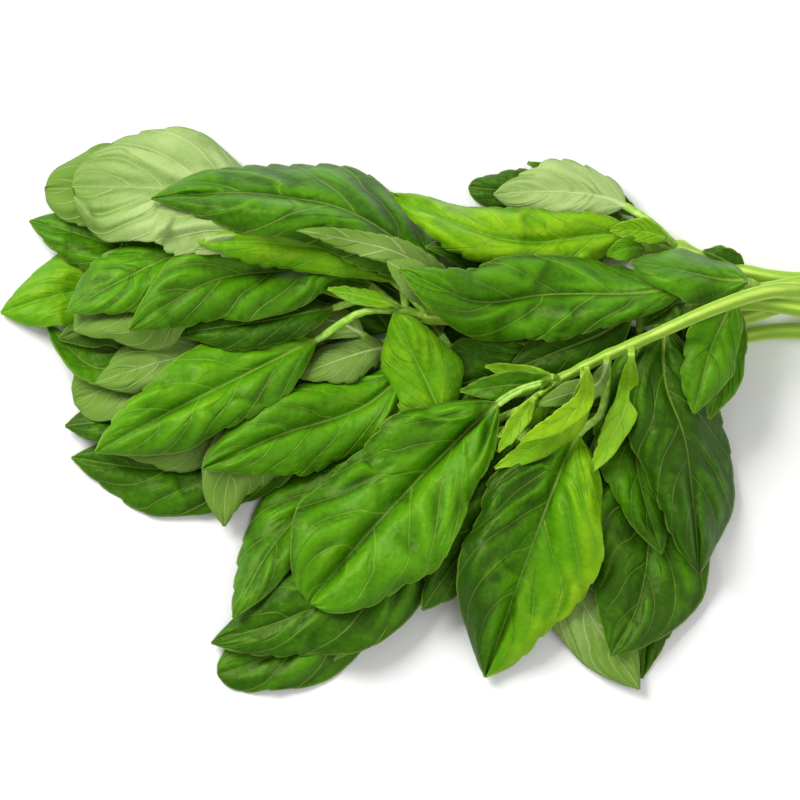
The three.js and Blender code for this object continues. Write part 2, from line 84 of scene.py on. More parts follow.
class Pile:
    """The height of everything laid down so far, on a grid of square cells."""

    def __init__(self):
        self.heights = np.full(PILE_CELLS[::-1], -AIR)

    def cells(self, x, y):
        line = np.floor((y - PILE_CORNER[1]) / CELL).astype(int)
        column = np.floor((x - PILE_CORNER[0]) / CELL).astype(int)
        return np.clip(line, 0, PILE_CELLS[1] - 1), np.clip(column, 0, PILE_CELLS[0] - 1)

    def at(self, x, y):
        return self.heights[self.cells(x, y)]

    def highest(self, points, margin):
        line, column = self.cells(*(points.min(0) - margin))
        last_line, last_column = self.cells(*(points.max(0) + margin))
        return self.heights[line:last_line + 1, column:last_column + 1].max()

    def cover(self, sheet, reach):
        """Lays a sheet down, raised by the height of its upper face over its middle."""
        corners, shares = samples(sheet)
        x, y, z = np.einsum("nk,nkd->dn", shares, sheet.reshape(-1, 3)[corners])
        row = corners[:, 0] // sheet.shape[1]
        np.maximum.at(self.heights, self.cells(x, y), z + np.broadcast_to(reach, len(sheet))[row])

    def add(self, other):
        self.heights = np.maximum(self.heights, other.heights)


def spline(p0, p1, p2, p3, t):
    """Places between p1 and p2 on a smooth curve that also heeds their neighbours."""
    v1 = (p2 - p0) / 2
    v2 = (p3 - p1) / 2
    return (2 * p1 - 2 * p2 + v1 + v2) * t**3 + (-3 * p1 + 3 * p2 - 2 * v1 - v2) * t**2 + v1 * t + p1


ROUTE_STEPS = 200
SMALL_TURN = 1e-4


class Route:
    """A smooth plan curve through points. A turn counts its spans from 0 to 1, a share its length."""

    def __init__(self, points):
        self.points = np.array(points, float)
        self.turns = np.linspace(0, 1, ROUTE_STEPS + 1)
        steps = np.hypot(*np.diff(self.place(self.turns), axis=0).T)
        self.lengths = np.concatenate([[0], np.cumsum(steps)])
        self.length = self.lengths[-1]

    def place(self, turn):
        last = len(self.points) - 1
        at = np.clip(turn, 0, 1) * last
        whole = np.floor(at).astype(int)
        near = (self.points[np.clip(whole + n, 0, last)] for n in (-1, 0, 1, 2))
        return spline(*near, (at - whole)[:, None])

    def turn(self, share):
        return np.interp(share * self.length, self.lengths, self.turns)

    def at(self, share):
        return self.place(self.turn(share))

    def along(self, share):
        turn = self.turn(share)
        after = self.place(np.minimum(turn + SMALL_TURN, 1))
        step = after - self.place(np.maximum(turn - SMALL_TURN, 0))
        return step / np.hypot(*step.T)[:, None]


# The stem thins from its cut end to its growing tip, and is squarish, as in all the mint family.
STEM_STEP = 8
STEM_ROUNDS = 15
STEM_TIP_THICKNESS = 2
STEM_TAPER = 1.5
STEM_MARGIN = 1.5  # looked over on either side for what the stem crosses
RIDGES = 4
RIDGE_HEIGHT = 0.06  # as a share of the stem's radius


def centre_line(route, thickness, pile):
    """Places and radii down the middle of a stem, lifted over what it crosses."""
    count = nearest_whole(route.length / STEM_STEP)
    share = np.arange(count + 1) / count
    plan = route.at(share)
    radius = (thickness + (STEM_TIP_THICKNESS - thickness) * share**STEM_TAPER) / 2
    beneath = [pile.highest(plan[max(0, k - 1):k + 2], radius[k] + STEM_MARGIN) for k in range(count + 1)]
    need = np.array(beneath) + AIR + radius
    lift = need
    for _ in range(STEM_ROUNDS):
        wide = np.pad(lift, 1, mode="edge")
        lift = np.maximum(need, (wide[:-2] + lift + wide[2:]) / 3)
    return np.column_stack([plan, lift, radius])


def rings(line, sides):
    """Rings of places round a centre line, each closed with its first place."""
    at = np.arange(len(line))
    along = line[np.minimum(at + 1, len(line) - 1), :3] - line[np.maximum(at - 1, 0), :3]
    along /= np.linalg.norm(along, axis=1)[:, None]
    side = np.cross(along, (0, 0, 1))
    side /= np.linalg.norm(side, axis=1)[:, None]
    up = np.cross(side, along)
    turn = (np.arange(sides + 1) % sides + 0.5) / sides * 2 * math.pi
    radius = line[:, 3, None] * (1 + RIDGE_HEIGHT * np.cos(RIDGES * turn))
    across = (radius * np.cos(turn))[..., None] * side[:, None]
    return line[:, None, :3] + across + (radius * np.sin(turn))[..., None] * up[:, None]


def between(values, at):
    """Rows of an array read smoothly between whole numbers."""
    last = len(values) - 1
    whole = np.clip(np.floor(at).astype(int), 0, last - 1)
    t = (at - whole).reshape(-1, *[1] * (values.ndim - 1))
    wide = np.concatenate([2 * values[:1] - values[1:2], values, 2 * values[-1:] - values[-2:-1]])
    return spline(*(wide[whole + n] for n in range(4)), t)


def sheet_of_faces(bm, places, facts):
    """A sheet of four-sided faces through rows of places, whose points keep these facts."""
    rows = places.shape[0] - 1
    columns = places.shape[1] - 1
    kept = bm.verts.layers.float
    layers = {name: kept.get(name) or kept.new(name) for name in facts}
    made = bmesh.ops.create_grid(bm, x_segments=rows, y_segments=columns, size=0.5, calc_uvs=True)["verts"]
    for vert in made:
        i = round((vert.co.x + 0.5) * rows)
        j = round((vert.co.y + 0.5) * columns)
        vert.co = places[i, j]
        for name, layer in layers.items():
            vert[layer] = facts[name][i, j]
    return made


METRES_PER_MM = 0.001


def finished(bm, name, materials):
    """An object at the origin, in metres, from a mesh laid down in millimetres."""
    bmesh.ops.translate(bm, verts=bm.verts, vec=(-MIDDLE_OF_BUNCH[0], -MIDDLE_OF_BUNCH[1], 0))
    bmesh.ops.scale(bm, verts=bm.verts, vec=[METRES_PER_MM] * 3)
    for face in bm.faces:
        face.smooth = True
    mesh = bpy.data.meshes.new(name)
    bm.to_mesh(mesh)
    bm.free()
    for material in materials:
        mesh.materials.append(material)
    made = bpy.data.objects.new(name, mesh)
    bpy.context.scene.collection.objects.link(made)
    return made


class Value:
    """A shader socket that can be added, multiplied and so on."""

    def __init__(self, socket):
        self.socket = socket
        self.tree = socket.id_data

    def node(self, kind, settings=None, inputs=None, output=0):
        """A new node: its settings by name, then a value or link for each socket."""
        made = self.tree.nodes.new(kind)
        for name, value in (settings or {}).items():
            setattr(made, name, value)
        for name, value in (inputs or {}).items():
            if isinstance(value, Value):
                self.tree.links.new(value.socket, made.inputs[name])
            else:
                made.inputs[name].default_value = value
        return Value(made.outputs[output])

    def maths(self, operation, first, second=0.0):
        return self.node("ShaderNodeMath", {"operation": operation}, {0: first, 1: second})

    def __add__(self, other):
        return self.maths("ADD", self, other)

    def __sub__(self, other):
        return self.maths("SUBTRACT", self, other)

    def __rsub__(self, other):
        return self.maths("SUBTRACT", other, self)

    def __mul__(self, other):
        return self.maths("MULTIPLY", self, other)

    def __abs__(self):
        return self.maths("ABSOLUTE", self)

    __radd__ = __add__
    __rmul__ = __mul__

    def rises(self, start, end):
        """Nought below start, one past end."""
        ends = {"Value": self, "From Min": start, "From Max": end}
        return self.node("ShaderNodeMapRange", {"interpolation_type": "SMOOTHSTEP"}, ends)

    def mixes(self, first, second):
        """This share of the second colour laid over the first."""
        inputs = {0: self, 6: first, 7: second}
        return self.node("ShaderNodeMix", {"data_type": "RGBA"}, inputs, output=2)

    def bump(self, strength, distance):
        inputs = {"Strength": strength, "Distance": distance, "Height": self}
        return self.node("ShaderNodeBump", None, inputs)


class Finish:
    """A material whose shader is fed by values read from the piece."""

    def __init__(self, name, roughness):
        self.material = bpy.data.materials.new(name)
        self.material.use_nodes = True
        self.shader = self.material.node_tree.nodes["Principled BSDF"]
        self.shader.inputs["Roughness"].default_value = roughness
        self.start = Value(self.shader.outputs[0])

    def fact(self, name):
        return self.start.node("ShaderNodeAttribute", {"attribute_name": name}, output="Fac")

    def place(self, stretch=(1, 1, 1)):
        place = self.start.node("ShaderNodeTexCoord", output="Object")
        return self.start.node("ShaderNodeMapping", None, {"Vector": place, "Scale": stretch})

    def noise(self, size, detail=2.0, stretch=(1, 1, 1)):
        """Noise whose grains are about size metres across."""
        inputs = {"Vector": self.place(stretch), "Scale": 1 / size, "Detail": detail}
        return self.start.node("ShaderNodeTexNoise", None, inputs)

    def cells(self, size):
        """The distance from the middles of cells about size metres across, in cells."""
        inputs = {"Vector": self.place(), "Scale": 1 / size}
        return self.start.node("ShaderNodeTexVoronoi", {"feature": "SMOOTH_F1"}, inputs)

    def feed(self, name, value):
        value.tree.links.new(value.socket, self.shader.inputs[name])


def colour(code):
    """A colour written as six hexadecimal digits, in linear light."""
    parts = [int(code[k:k + 2], 16) / 255 for k in (0, 2, 4)]
    return (*[p / 12.92 if p <= 0.04045 else ((p + 0.055) / 1.055) ** 2.4 for p in parts], 1.0)


STEM_PALE = colour("c0da5e")
STEM_GREEN = colour("8db832")
PITH_GREEN = colour("cfe08f")
PITH_PALE = colour("e6efc4")


def stem_skin():
    """Pale, satin and ribbed, greener between its four ridges."""
    finish = Finish("stem_skin", roughness=0.4)
    streaks = finish.noise(size=0.003, detail=3, stretch=(0.08, 1, 1))
    fine = finish.noise(size=0.0006)
    green = (finish.fact("groove") * 0.5 + streaks * 0.9).rises(0.35, 0.85)
    finish.feed("Base Color", green.mixes(STEM_PALE, STEM_GREEN))
    finish.feed("Normal", (streaks * 1.2 + fine * 0.3).bump(strength=0.6, distance=0.0005))
    finish.shader.inputs["Specular IOR Level"].default_value = 0.25
    finish.shader.inputs["Subsurface Weight"].default_value = 0.5
    finish.shader.inputs["Subsurface Radius"].default_value = (0.003, 0.004, 0.001)
    return finish.material


def stem_cut():
    """The paler pith at a cut end."""
    finish = Finish("stem_cut", roughness=0.35)
    pith = finish.noise(size=0.0005, detail=3)
    finish.feed("Base Color", pith.rises(0.3, 0.7).mixes(PITH_GREEN, PITH_PALE))
    finish.feed("Normal", pith.bump(strength=0.4, distance=0.0003))
    return finish.material


STEM_MATERIALS = [stem_skin(), stem_cut()]
CUT_MATERIAL = 1
STEM_SIDES = 24
FINE_STEM_STEP = 1.5
KNOT_SWELL = 0.12
KNOT_REACH = 3
SEAM_GAP = 1e-4  # the tube's first and last points meet along a seam, and are merged
CUT_RIM = 0.3
CUT_DEPTH = 0.15


def stem_piece(name, line, roots):
    """A fine tube along a centre line that swells where leaves grow from it."""
    bm = bmesh.new()
    count = int(len(line) * STEM_STEP / FINE_STEM_STEP)
    fine = between(line, np.linspace(0, len(line) - 1, count))
    for root in roots:
        away = np.hypot(*(fine[:, :2] - root).T) / KNOT_REACH
        fine[:, 3] *= 1 + KNOT_SWELL * np.exp(-away**2)
    places = rings(fine, STEM_SIDES)
    places[..., 2] = np.maximum(places[..., 2], 0)
    turn = (np.arange(STEM_SIDES + 1) + 0.5) / STEM_SIDES * 2 * math.pi
    groove = np.broadcast_to(0.5 - 0.5 * np.cos(RIDGES * turn), places.shape[:2])
    tube = sheet_of_faces(bm, places, {"groove": groove})
    bmesh.ops.remove_doubles(bm, verts=tube, dist=SEAM_GAP)
    ends = bmesh.ops.edgeloop_fill(bm, edges=[e for e in bm.edges if e.is_boundary])["faces"]
    bmesh.ops.recalc_face_normals(bm, faces=bm.faces)
    cut = max(ends, key=lambda face: face.calc_center_median().x)
    bmesh.ops.inset_individual(bm, faces=[cut], thickness=CUT_RIM, depth=-CUT_DEPTH)
    cut.material_index = CUT_MATERIAL
    bmesh.ops.poke(bm, faces=ends)
    return finished(bm, name, STEM_MATERIALS)


# A leaf is a narrow stalk rooted in the stem, then an oval blade with a wavy toothed edge. It
# hangs from its root, and is lifted where something lies beneath it.
BLADE_THICKNESS = 0.8
FACE_REACH = 0.75  # share of a leaf's thickness kept for its upper and its lower face
STALK_THICKNESS = 2.0
STALK_WIDTH = 2.6
TIP_WIDTH = 1.0
BASE_FULLNESS = 0.72
TIP_FULLNESS = 0.85
BLUNT_FULLNESS = 0.5
YOUNG_WIDTH = 14
ARCH = 11  # a leaf is this many times as wide as its arch is high
HUMP = 18  # and as the humps on either side of its midrib
WAVE = 17  # and as the waves of its edge
CUP = 8  # and as a young leaf's edges lift
DROOP = 12  # and as a grown leaf's edges hang
THIN_STALK = 5  # and as a small leaf's stalk is thick
SLIM_STALK = 8  # and as half the width of that stalk
MOST_ROLL = 10  # degrees
TURN_STEP = 0.37  # a leaf's turn, which starts its waves, is so far past that of the leaf before
STEM_TURNS = 3  # and a stem's first leaf is so many steps past that of the stem before
# So many waves along the blade, and what their start takes from the leaf's turn and from its side.
# The margins wander in two such waves, each by its share of the width.
EDGE_WAVES = (2.3, 1, 0.3)
MARGIN_WANDERS = ((0.08, (1.9, 3, 0.2)), (0.02, (4.3, 5, 0.3)))
ROW_SPACING = 12.2
LEAST_ROWS = 4
MOST_ROWS = 11
LONG_STALK = 9  # a stalk longer than this has a row halfway
WIDE_LEAF = 38
NARROW_LEAF = 15
FALL_LENGTH = 2  # a leaf falls from its root over this length
FALL_PER_HEIGHT = 0.3  # and over this much more for each millimetre of its root's height
ROOT_HOLD = 5
ROOT_REACH = 9
LEAST_FREE = 0.3  # a row less free of its root than this isn't raised
NEAR_CORNER = 0.2  # a place whose share of a corner is less than this doesn't raise it
LAY_ROUNDS = 8
LIFT_STEP = 4
LIFT_ROUNDS = 12
LIFT_MARGIN = 3  # grid steps kept round the leaf
LEAST_WEIGHT = 0.04  # a grid value that weighs less than this isn't raised


class Lift:
    """A smooth lift over the plan, as low as it can be while it clears what lies beneath."""

    def __init__(self, points):
        self.corner = points.min(0) - LIFT_MARGIN * LIFT_STEP
        columns, lines = np.ceil((points.max(0) - self.corner) / LIFT_STEP).astype(int) + LIFT_MARGIN + 1
        self.need = np.zeros((lines, columns))
        self.values = self.need

    def around(self, points):
        """The sixteen grid values round each point, and their cubic spline weights."""
        at = (points - self.corner) / LIFT_STEP
        whole = np.floor(at).astype(int)
        t = at - whole
        last = -3 * t**3 + 3 * t**2 + 3 * t + 1
        weights = np.stack([(1 - t) ** 3, 3 * t**3 - 6 * t**2 + 4, last, t**3], 1) / 6
        steps = np.arange(-1, 3)
        columns = np.broadcast_to((whole[:, 0, None] + steps)[:, None, :], (len(at), 4, 4))
        lines = np.broadcast_to((whole[:, 1, None] + steps)[:, :, None], (len(at), 4, 4))
        return lines, columns, weights[:, :, 1, None] * weights[:, None, :, 0]

    def ask(self, points, heights):
        lines, columns, weights = self.around(points)
        wanted = weights > LEAST_WEIGHT
        heights = np.broadcast_to(heights[:, None, None], weights.shape)
        np.maximum.at(self.need, (lines[wanted], columns[wanted]), heights[wanted])

    def settle(self):
        self.values = self.need
        for _ in range(LIFT_ROUNDS):
            v = np.pad(self.values, 1, mode="edge")
            near = v[1:-1, 1:-1] + v[:-2, 1:-1] + v[2:, 1:-1] + v[1:-1, :-2] + v[1:-1, 2:]
            self.values = np.maximum(self.need, near / 5)

    def at(self, points):
        lines, columns, weights = self.around(points)
        return (weights * self.values[lines, columns]).sum((1, 2))


class Leaf:
    """A leaf from its root through its via points to its tip, bare for its petiole's share of that.

    Its green has a tone from dark, 0, to pale, 1, with painted light and shade across it that
    raises the tone towards its left by so much. Its folds rise about so many millimetres, and its
    edges lift by its cup.
    """

    def __init__(self, root, via, tip, width, petiole, tone=0.2, painted_side_shade=0, folds=0.4, under=False, blunt=False,
                 cup=None):
        self.root = root
        self.via = via
        self.tip = tip
        self.width = width
        self.petiole = petiole
        self.tone = tone
        self.painted_side_shade = painted_side_shade
        self.folds = folds
        self.under = under
        self.tip_fullness = BLUNT_FULLNESS if blunt else TIP_FULLNESS
        self.arch = width / ARCH
        hang = width / CUP if width < YOUNG_WIDTH else -width / DROOP
        self.cup = hang if cup is None else cup
        self.hump = width / HUMP
        self.wave = width / WAVE

    def grow(self, line, number, index):
        """Roots the leaf on the nearest knot of its stem."""
        root = line[np.argmin(np.hypot(*(line[:, :2] - self.root).T))]
        self.root = root[:2]
        self.root_height = root[2]
        self.route = Route([self.root, *self.via, self.tip])
        self.length = self.route.length
        self.turn = (TURN_STEP * (index + STEM_TURNS * number)) % 1
        self.roll = math.radians(MOST_ROLL) * math.sin(6 * math.pi * self.turn)

    def blade_share(self, s):
        return (s - self.petiole) / (1 - self.petiole)

    def half_width(self, s):
        u = np.maximum(0, self.blade_share(s))
        widest = BASE_FULLNESS / (BASE_FULLNESS + self.tip_fullness)
        most = widest**BASE_FULLNESS * (1 - widest) ** self.tip_fullness
        blade = self.width / 2 * u**BASE_FULLNESS * np.maximum(0, 1 - u) ** self.tip_fullness / most
        stalk = (STALK_WIDTH + (TIP_WIDTH - STALK_WIDTH) * u) / 2
        return np.maximum(blade, np.minimum(stalk, self.width / SLIM_STALK))

    def thickness(self, s):
        """The stalk thins into the blade over its last stretch, a quarter as long as the blade."""
        root = max(min(STALK_THICKNESS, self.width / THIN_STALK), BLADE_THICKNESS)
        return root + (BLADE_THICKNESS - root) * smooth_step(1 + 4 * self.blade_share(s))

    def rows(self):
        count = nearest_whole(self.length * (1 - self.petiole) / ROW_SPACING) + 1
        count = min(max(count, LEAST_ROWS), MOST_ROWS)
        halfway = [self.petiole / 2] if self.petiole * self.length > LONG_STALK else []
        even = np.arange(1, count + 1) / count
        eased = (1 - np.cos(math.pi * even)) / 2
        blade = self.petiole + (1 - self.petiole) * (even + eased) * 0.5
        return np.concatenate([[0, *halfway, self.petiole], blade])

    def columns(self):
        if self.width > WIDE_LEAF:
            return 6
        return 4 if self.width > NARROW_LEAF else 2

    def plan(self, s, sideways):
        """Places over the surface, s down the leaf and so far to its left."""
        middle = self.route.at(s)
        along = self.route.along(s)
        left = np.stack([-along[:, 1], along[:, 0]])
        return tuple(middle[:, k, None] + left[k][:, None] * sideways for k in range(2))

    def swing(self, u, c, waves, start, side):
        """So many waves along the blade, with their own start on each leaf and each side."""
        return np.sin(2 * math.pi * (waves * u + start * self.turn + side * np.sign(c)))

    def across(self, s, c):
        """How far a place is from the midrib, which the margins on either side wander about."""
        u = np.maximum(0, self.blade_share(s))[:, None]
        wander = sum(share * self.swing(u, c, *waves) for share, waves in MARGIN_WANDERS)
        return c * self.half_width(s)[:, None] * (1 + np.abs(c) * wander)

    def hanging(self, s, c):
        """The leaf as it hangs with nothing beneath it, s along and c across, -1 to 1."""
        u = np.maximum(0, self.blade_share(s))[:, None]
        across = self.across(s, c)
        fullness = self.half_width(s)[:, None] / (self.width / 2)
        edge = (self.cup + self.wave * self.swing(u, c, *EDGE_WAVES)) * c * c
        hump = self.hump * np.sin(math.pi * np.abs(c))
        tilt = self.roll * smooth_step(u * 3)
        fall = 1 - smooth_step(s * self.length / (FALL_LENGTH + FALL_PER_HEIGHT * self.root_height))[:, None]
        z = self.root_height * fall + self.arch * np.sin(math.pi * u) + (edge + hump) * fullness
        return np.stack([*self.plan(s, across * np.cos(tilt)), z + across * np.sin(tilt)], -1)

    def lie(self, pile, own):
        """Lifts the leaf clear of the pile, and past its root clear of its own stem and leaves."""
        rows = self.rows()
        sheet = self.hanging(rows, np.linspace(-1, 1, self.columns() + 1))
        places = sheet.reshape(-1, 3)
        free = np.repeat(smooth_step(rows * self.length / ROOT_HOLD), sheet.shape[1])
        corners, shares = samples(sheet)
        x, y, z = np.einsum("nk,nkd->dn", shares, places[corners])
        s = (shares * rows[corners // sheet.shape[1]]).sum(1)
        own_height = np.where(s * self.length > ROOT_REACH, own.at(x, y), -AIR)
        rise = np.maximum(pile.at(x, y), own_height) + AIR + self.thickness(s) * FACE_REACH - z
        lift = Lift(places[:, :2])
        for _ in range(LAY_ROUNDS):
            lift.settle()
            heights = free * lift.at(places[:, :2])
            missing = rise - (shares * heights[corners]).sum(1)
            short = np.zeros(len(places))
            for k in range(3):
                near = (missing > 0) & (shares[:, k] > NEAR_CORNER)
                np.maximum.at(short, corners[near, k], missing[near])
            asks = (short > 0) & (free > LEAST_FREE)
            lift.ask(places[asks, :2], (heights + short)[asks])
        sheet[..., 2] += heights.reshape(sheet.shape[:2])
        self.heights = sheet[..., 2]
        own.cover(sheet, self.thickness(rows) * FACE_REACH)


# The blade is quilted between side veins that sweep to its edge, and creased along its midrib.
FINE_BLADE = 0.45
THICKEST = 2.0  # of which every place takes its own share
LEAST_HEIGHT = 0.5
GROWN_WIDTH = 24  # a leaf narrower than this has smaller teeth and folds
TOOTH = 0.9
TOOTH_SPACING = 7
TOOTHED_FROM = 0.85  # of the way from the midrib to the edge
TOOTHED_OVER = 0.15
TOOTHED_STRETCH = 11
SIDE_VEINS = 5.5
YOUNG_VEINS = 4
FEW_VEINS_WIDTH = 12
FIRST_VEIN = 3  # the count starts here, so that it stays above nought
VEIN_SWEEP = 0.8
VEIN_STAGGER = 0.35  # the veins on the right start sooner by this share of their spacing
VEIN_STRAY = 0.12
STRAY_SIZE = 16
QUILT = 0.07
PLUMP_SIZE = 15
FOLD = 1.15
FOLDS_PER_VEIN = 1.2
FOLD_STRAY = 0.06
FOLD_SIZE = 1.4
ROOM_SIZE = 14
PUCKER = 0.3
PUCKER_SIZE = 12
SWELL = 1.3
SWELL_SIZE = 26
FLAT_BESIDE_RIB = 0.22  # so much of the way from the midrib to the edge
CREASE = 0.9
CREASE_WIDTH = 1.3
RIB = 0.5
# The two below set how the blade's hollows are painted darker and its crests painted lighter: the smoothing
# that finds them, and how strongly.
LEVELLING_ROUNDS = 20
RELIEF_SHADING = 3
ROWS_PER_MM = 1.25
FEWEST_ROWS = 20
MOST_FINE_ROWS = 120
STALK_ROWS = 11
COLUMNS_PER_MM = 0.65  # in each half of a leaf
FEWEST_COLUMNS = 5
MOST_COLUMNS = 28
CROWDING = 1.15  # rows crowd towards the stalk, and columns towards the midrib
MUCH_FOLDED = 0.8
PLAIN_SHARE = 0.8  # a leaf with few folds has this share of the rows and columns
random = np.random.default_rng(7)


def ripples(x, y, size, count=7):
    """Smooth seeded noise about -1 to 1, with bumps about size across."""
    found = 0
    for _ in range(count):
        heading, phase, scale = random.uniform((0, 0, 0.7), (math.pi, 2 * math.pi, 1.4))
        run = (x * math.cos(heading) + y * math.sin(heading)) * math.pi * scale / size
        found = found + np.sin(run + phase + 0.8 * found)
    return found / math.sqrt(count)


def softened(heights, rounds=2):
    """Heights averaged again and again with those of the rows and columns beside them."""
    for _ in range(rounds):
        wide = np.pad(heights, 1, mode="edge")
        heights = heights / 2 + (wide[:-2, 1:-1] + wide[2:, 1:-1] + wide[1:-1, :-2] + wide[1:-1, 2:]) / 8
    return heights


class FineLeaf:
    """The upper face of a laid leaf, in fine rows down it and columns across it."""

    def __init__(self, leaf):
        share = 1 if leaf.folds >= MUCH_FOLDED else PLAIN_SHARE
        rows = int(np.clip(leaf.length * ROWS_PER_MM * share, FEWEST_ROWS, MOST_FINE_ROWS))
        columns = int(np.clip(leaf.width * COLUMNS_PER_MM * share, FEWEST_COLUMNS, MOST_COLUMNS))
        stalk = np.linspace(0, leaf.petiole, STALK_ROWS + 1)[:-1]
        blade = leaf.petiole + (1 - leaf.petiole) * np.linspace(0, 1, rows) ** CROWDING
        spread = np.arange(-columns, columns + 1) / columns
        self.leaf = leaf
        self.s = np.concatenate([stalk, blade])
        self.c = np.sign(spread) * np.abs(spread) ** CROWDING
        self.out = np.abs(self.c)
        self.right = self.c < 0
        self.u = np.maximum(0, leaf.blade_share(self.s))[:, None]
        self.half = leaf.half_width(self.s)[:, None]
        self.across = leaf.across(self.s, self.c)
        self.down = self.s[:, None] * leaf.length
        self.small = min(1, leaf.width / GROWN_WIDTH)

    def ripples(self, size):
        return ripples(self.across, self.down, size)

    def teeth(self):
        """How deep the edge is cut between its teeth, which some stretches hardly have."""
        ends = smooth_step(self.u * 5) * smooth_step((1 - self.u) * 8)
        edge = smooth_step((self.out - TOOTHED_FROM) / TOOTHED_OVER) * ends
        spacing = TOOTH_SPACING * (0.3 + 0.7 * self.small)
        past_tooth = (self.down / spacing + 0.4 * self.right) % 1
        stretch = np.sin(self.down / TOOTHED_STRETCH + 9 * self.leaf.turn + 2.5 * self.right)
        toothed = np.clip(0.6 + 0.6 * stretch, 0.15, 1)
        return TOOTH * self.small**0.5 * edge * toothed * np.maximum(0, 1 - 1.8 * past_tooth)

    def side_veins(self):
        """A count through the side veins that is whole on each of them."""
        leaf = self.leaf
        slim = leaf.width / (leaf.length * (1 - leaf.petiole))
        veins = SIDE_VEINS if leaf.width > FEW_VEINS_WIDTH else YOUNG_VEINS
        strayed = VEIN_STRAY * self.ripples(STRAY_SIZE)
        count = veins * (self.u - VEIN_SWEEP * slim * self.out**1.2)
        return count + VEIN_STAGGER * self.right + leaf.turn + FIRST_VEIN + strayed

    def quilting(self, vein):
        """How far the blade stands out between its veins, in its folds and in its puckers."""
        bulge = np.sqrt(np.sin(math.pi * vein) ** 2 + 0.04) - 0.5
        plump = 0.7 + 0.6 * self.ripples(PLUMP_SIZE)
        edge = 1 - 0.75 * smooth_step((self.out - 0.7) / 0.3)
        held = smooth_step(self.out / FLAT_BESIDE_RIB) * edge
        ridges = ripples(vein * FOLDS_PER_VEIN, np.abs(self.across) * FOLD_STRAY, FOLD_SIZE)
        crest = np.maximum(0, 1.1 - 2.2 * np.sqrt(ridges**2 + 0.004))
        room = smooth_step(0.8 + self.ripples(ROOM_SIZE)) * smooth_step((1 - self.u) * 4) * held
        fold = FOLD * self.leaf.folds * self.small * crest * room
        puckers = PUCKER * self.small * self.ripples(PUCKER_SIZE)
        swell = SWELL * self.small * max(0, self.leaf.folds - MUCH_FOLDED)
        swell = swell * (1 + self.ripples(SWELL_SIZE)) * held
        return softened(QUILT * self.half * held * plump * bulge + fold + puckers + swell)

    def midrib(self):
        """How deep the midrib is creased. On the underside it stands out."""
        depth = (-RIB if self.leaf.under else CREASE) * self.small
        return depth * np.exp(-np.abs(self.across / CREASE_WIDTH) ** 1.5) * (1 - 0.7 * self.u)

    def laid_height(self):
        """The height of the leaf as it lies, without its teeth, quilting and folds."""
        heights = self.leaf.heights
        row = np.interp(self.s, self.leaf.rows(), np.arange(len(heights)))
        column = (self.c + 1) / 2 * (heights.shape[1] - 1)
        return between(between(heights, row).T, column).T

    def places_and_facts(self):
        """Places in rows and columns, and what the leaf's materials read there."""
        leaf = self.leaf
        tilt = leaf.roll * smooth_step(self.u * 3)
        sideways = (self.across - np.sign(self.c) * self.teeth()) * np.cos(tilt)
        vein = self.side_veins()
        raised = self.quilting(vein) - self.midrib()
        blade = smooth_step(self.u * 8)
        half_thick = leaf.thickness(self.s)[:, None] / 2 * np.sqrt(1 - 0.98 * self.c * self.c)
        thick = (1 - blade) * 2 * half_thick + blade * FINE_BLADE
        z = self.laid_height() + (1 - blade) * half_thick + blade * (FINE_BLADE / 2 + raised)
        z = np.maximum(z, np.maximum(LEAST_HEIGHT, thick))
        whole = np.ones_like(z)
        facts = {
            "vein": vein,
            "across": self.across,
            "inward": self.half * (1 - self.out),
            # Painted light and shade: the tone rises across the leaf towards its left and falls towards its
            # right, so one half looks lit and the other shaded.
            "tone": leaf.tone + leaf.painted_side_shade * self.c * whole,
            "turn": leaf.turn * whole,
            # Painted shade and light: how far a place lies below or above its smoothed surroundings, which
            # darkens the blade's hollows and lightens its crests in colour.
            "painted_relief_shade": np.clip((raised - softened(raised, LEVELLING_ROUNDS)) * RELIEF_SHADING, -1, 1),
            "blade": self.u * whole,
            "thick": thick / THICKEST,
        }
        return np.stack([*leaf.plan(self.s, sideways), z], -1), facts


LEAF_SHINE = (0.85, 1.0, 0.35, 1.0)  # the waxy blade tints what it mirrors
LEAF_DARK = colour("224a02")
LEAF_GREEN = colour("4f8e06")
LEAF_LIME = colour("92be12")
LEAF_VEIN = colour("aecd4e")
UNDER_GREEN = colour("64882f")
UNDER_PALE = colour("a9c07a")
UNDER_VEIN = colour("c2d692")
UNDER_MIDRIB = colour("c8da98")
STALK_PALE = colour("aad34c")
STALK_GREEN = colour("7db22a")


def vein_marks(finish, width):
    """How far a place is on a side vein, and how far on the midrib, which thins to the tip."""
    vein = finish.fact("vein")
    off = abs(finish.start.maths("FRACT", vein + 0.5) - 0.5)
    across = abs(finish.fact("across"))
    blade = finish.fact("blade")
    middle = 1 - (across * (0.35 + blade * 1.8)).rises(0.1, 0.45)
    side = (1 - off.rises(0.0, width)) * across.rises(0.1, 1.0)
    return side * (1 - 0.4 * blade), middle * (1 - 0.5 * blade)


def creases(finish):
    """A few long creases that run beside the side veins, and lie elsewhere on each leaf."""
    along = finish.fact("vein") * 0.9
    out = abs(finish.fact("across")) * 0.06
    place = finish.start.node("ShaderNodeCombineXYZ", None, {0: along, 1: out, 2: finish.fact("turn") * 40})
    found = finish.start.node("ShaderNodeTexNoise", None, {"Vector": place, "Scale": 1.0, "Detail": 1.0})
    return 1 - abs(found - 0.5).rises(0.0, 0.035)


